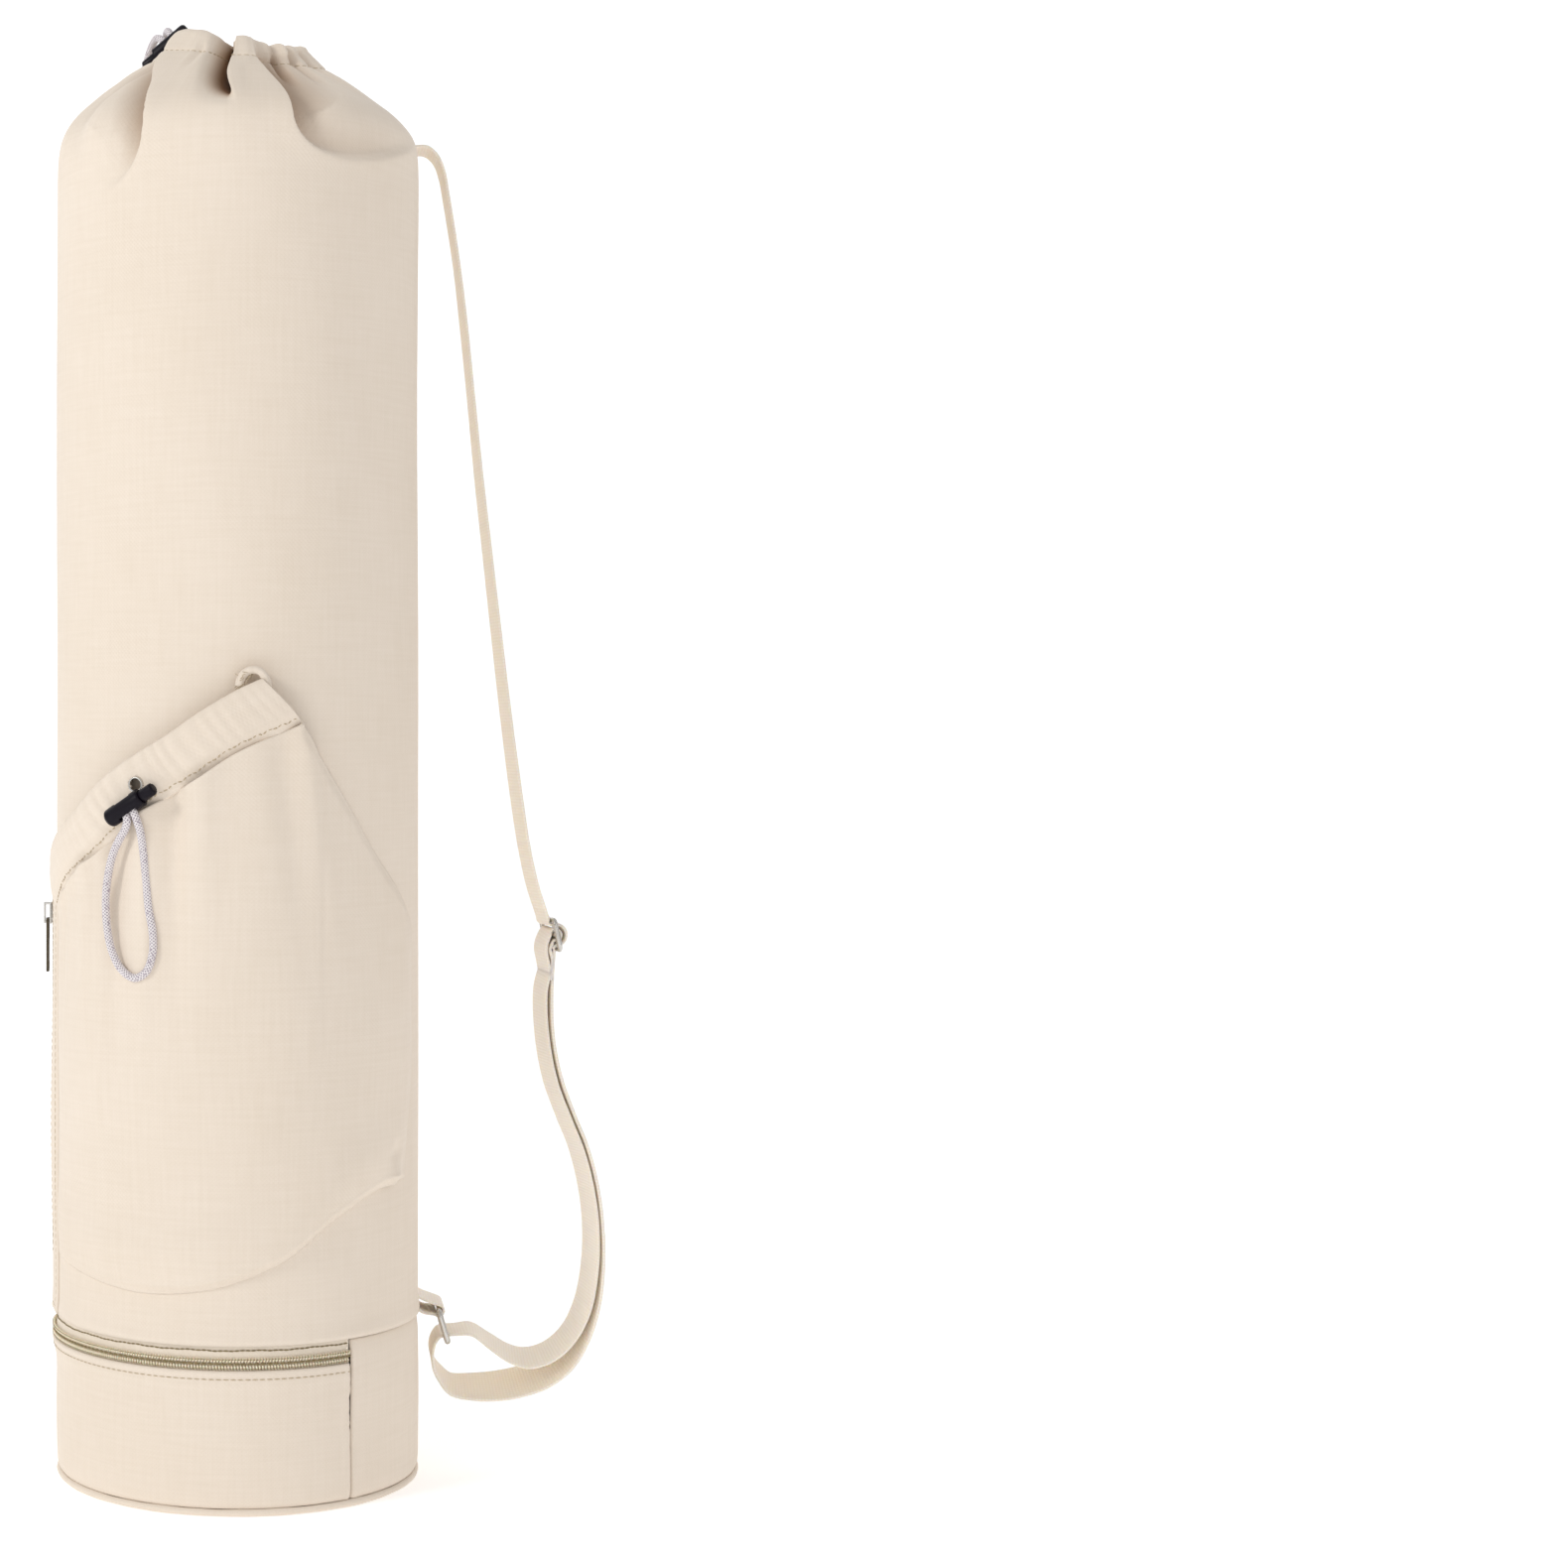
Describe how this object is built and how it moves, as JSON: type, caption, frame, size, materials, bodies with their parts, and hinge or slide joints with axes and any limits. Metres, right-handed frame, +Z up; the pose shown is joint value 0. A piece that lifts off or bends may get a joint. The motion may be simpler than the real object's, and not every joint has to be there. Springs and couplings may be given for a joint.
{
  "type": "yoga mat bag",
  "caption": "Upright drawstring tube bag in cotton canvas with a gathered neck, slanted bottle pocket, zipped foot and side pocket, and an adjustable shoulder strap.",
  "frame": {"origin": "middle of the flat bottom, on the surface that the bag stands on", "axes": "+Z up along the tube, -Y towards the front with the bottle pocket, +X towards the shoulder strap"},
  "size_m": [0.2693, 0.1911, 0.691],
  "materials": {
    "canvas": "unbleached cotton canvas",
    "webbing": "cotton webbing",
    "zip_tape": "woven zip tape",
    "zip_coil": "moulded coil",
    "cord_braid": "flecked braid",
    "lock_plastic": "moulded, satin",
    "nickel": "nickel plated"
  },
  "bodies": {
    "bag": {"body_tube": "canvas", "lower_band": "canvas", "hinge_panel": "canvas", "base_panel": "canvas", "base_piping": "canvas", "bottle_pocket": "canvas", "pocket_hem": "canvas", "side_pocket": "canvas", "bottom_zip_tape": "zip_tape", "bottom_zip_chain": "zip_coil", "side_zip_chain": "zip_coil", "bottom_zip_slider": "nickel", "side_zip_slider": "nickel", "pocket_eyelet": "nickel", "strap_ring": "nickel", "strap_adjuster": "nickel", "pocket_lock_barrel": "lock_plastic", "neck_lock_barrel": "lock_plastic", "pocket_cord": "cord_braid", "neck_cord": "cord_braid", "shoulder_strap": "webbing", "ring_tab": "webbing"},
    "pocket_button": {"pocket_lock_button": "lock_plastic"},
    "neck_button": {"neck_lock_button": "lock_plastic"},
    "zip_pull": {"side_zip_pull": "nickel"}
  },
  "joints": [
    {"name": "pocket_button_press", "type": "slide", "parent": "bag", "child": "pocket_button", "axis": [-0.7452, 0.4047, -0.53], "range_m": [0, 0.0022], "stiffness_N_per_m": 300, "springref_m": -0.001},
    {"name": "neck_button_press", "type": "slide", "parent": "bag", "child": "neck_button", "axis": [0.7666, -0.1911, 0.613], "range_m": [0, 0.0022], "stiffness_N_per_m": 300, "springref_m": -0.001},
    {"name": "side_zip_pull_swing", "type": "hinge", "parent": "bag", "child": "zip_pull", "pos_m": [-0.0906, 0, 0.26205], "axis": [0, 1, 0], "range_deg": [0, 170]}
  ]
}
